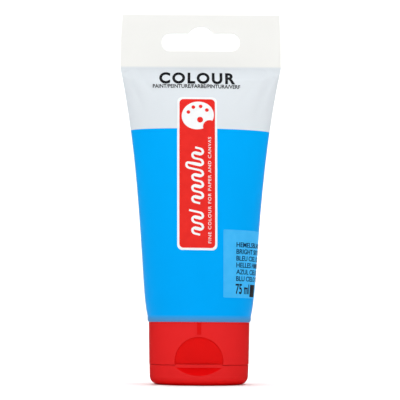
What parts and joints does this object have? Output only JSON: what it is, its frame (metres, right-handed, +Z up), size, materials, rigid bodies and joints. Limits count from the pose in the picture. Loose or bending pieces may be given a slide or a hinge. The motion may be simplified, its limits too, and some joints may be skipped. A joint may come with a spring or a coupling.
{
  "type": "paint tube",
  "caption": "Plastic squeeze tube with a flat welded tail, a hang slot and a round flip-top cap that it stands on.",
  "frame": {"origin": "middle of the lid's flat standing face, at the bottom of the object's box", "axes": "+Z up from the cap to the flat tail, +Y from the front, where the thumb recess is, to the back, where the lid's hinge is, +X to the right seen from the front"},
  "size_m": [0.0628, 0.04, 0.144],
  "materials": {
    "sleeve_film": "satin",
    "head_plastic": "satin",
    "paint": "gloss",
    "cap_plastic": "satin"
  },
  "bodies": {
    "tube": {"sleeve": "sleeve_film", "tube_head": "head_plastic", "paint_fill": "paint", "cap_body": "cap_plastic", "hinge_film_left": "cap_plastic", "hinge_film_right": "cap_plastic", "hinge_snap_strap": "cap_plastic"},
    "lid": {"cap_lid": "cap_plastic"}
  },
  "joints": [
    {"name": "lid_hinge", "type": "hinge", "parent": "tube", "child": "lid", "pos_m": [0, 0.01862, 0.0077], "axis": [1, 0, 0], "range_deg": [0, 150], "deforming": ["hinge_film_left", "hinge_film_right", "hinge_snap_strap"]}
  ]
}
